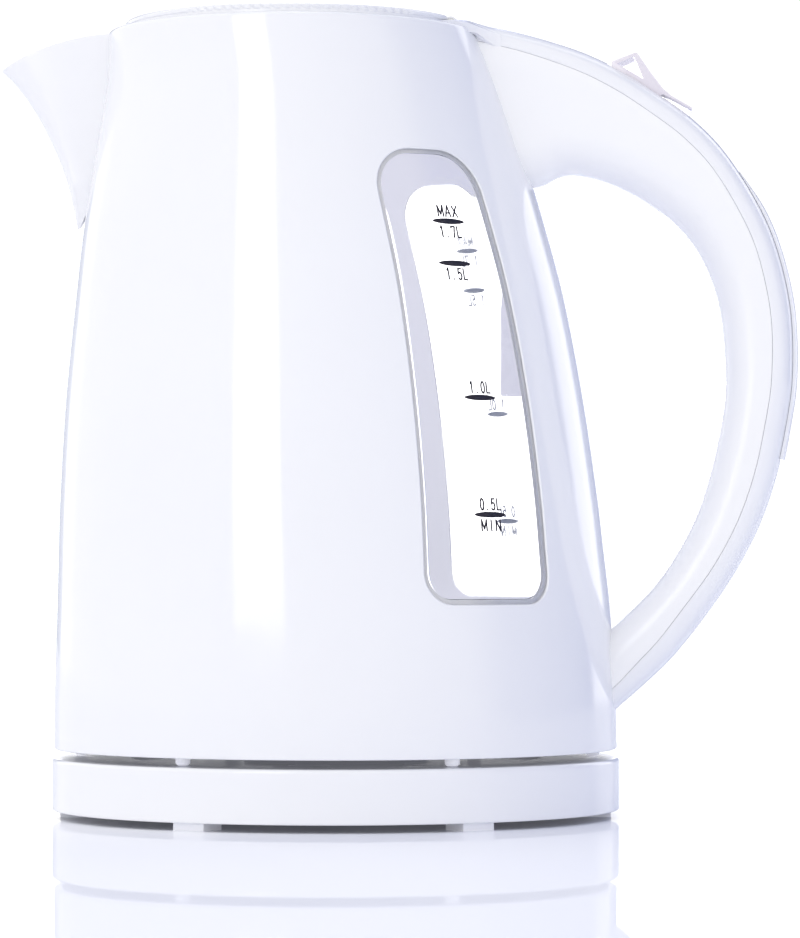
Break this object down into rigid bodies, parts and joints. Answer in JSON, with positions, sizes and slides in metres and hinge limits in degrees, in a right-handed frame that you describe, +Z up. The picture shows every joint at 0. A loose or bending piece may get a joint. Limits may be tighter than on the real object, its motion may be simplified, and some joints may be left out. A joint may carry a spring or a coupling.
{
  "type": "electric kettle",
  "caption": "Cordless electric kettle with a narrow beak spout, loop handle, hinged lid, clear level windows and rocker switch, standing on a round power base.",
  "frame": {"origin": "on the floor, below the middle of the whole object's bounding box; the swivel axis of kettle and base is at x = -17.2 mm, y = 0", "axes": "+Z up, the handle points along +X, the spout along -X, the cord gland is at +Y"},
  "size_m": [0.2245, 0.1588, 0.223],
  "materials": {
    "white_shell": "polished white",
    "inner_white": "plain white",
    "feet": "soft",
    "contact_brass": "plain",
    "screw_steel": "plain",
    "window_clear": "clear plastic",
    "heater_steel": "brushed",
    "seal_rubber": "soft",
    "spreader_aluminium": "plain",
    "control_black": "plain",
    "duct_grey": "plain",
    "filter_steel": "woven",
    "wire_rubber": "insulation",
    "lever_clear": "clear plastic",
    "lamp_glass": "tinted"
  },
  "bodies": {
    "base": {"base_top": "white_shell", "base_bottom": "inner_white", "base_feet": "feet", "base_socket": "inner_white", "base_contacts": "contact_brass", "base_screws": "screw_steel", "cord_gland": "white_shell", "cord_clamp": "inner_white"},
    "connector": {"connector_housing": "inner_white", "connector_pins": "contact_brass"},
    "lid": {"lid_cover": "white_shell", "lid_inner": "inner_white", "lid_seal": "seal_rubber"},
    "switch": {"switch_lever": "lever_clear"},
    "kettle": {"body_skirt": "white_shell", "body_shell": "white_shell", "body_top": "white_shell", "body_rim": "white_shell", "spout": "white_shell", "window_left": "window_clear", "window_right": "window_clear", "bottom_cover": "inner_white", "kettle_feet": "feet", "bottom_screws": "screw_steel", "clamp_ring": "inner_white", "clamp_screws": "screw_steel", "heater_plate": "heater_steel", "heater_seal": "seal_rubber", "heat_spreader": "spreader_aluminium", "heating_element": "heater_steel", "thermostat_control": "control_black", "bimetal_discs": "contact_brass", "control_screws": "screw_steel", "steam_duct": "duct_grey", "filter_frame": "white_shell", "filter_mesh": "filter_steel", "handle_inner": "white_shell", "handle_cover": "white_shell", "handle_strip": "white_shell", "handle_wires": "wire_rubber", "switch_housing": "inner_white", "switch_pin": "screw_steel", "steam_bimetal": "contact_brass", "indicator_lamp": "lamp_glass", "lid_bracket": "white_shell", "lid_pin": "screw_steel"}
  },
  "joints": [
    {"name": "kettle_lift", "type": "slide", "parent": "base", "child": "connector", "axis": [0, 0, 1], "range_m": [0, 0.12]},
    {"name": "kettle_swivel", "type": "hinge", "parent": "connector", "child": "kettle", "pos_m": [-0.0172, 0, 0], "axis": [0, 0, 1], "continuous": true},
    {"name": "lid_hinge", "type": "hinge", "parent": "kettle", "child": "lid", "pos_m": [0.016, 0, 0.221], "axis": [0, 1, 0], "range_deg": [0, 75]},
    {"name": "switch_rock", "type": "hinge", "parent": "kettle", "child": "switch", "pos_m": [0.0699, 0, 0.1989], "axis": [0, -1, 0], "range_deg": [0, 10]}
  ]
}
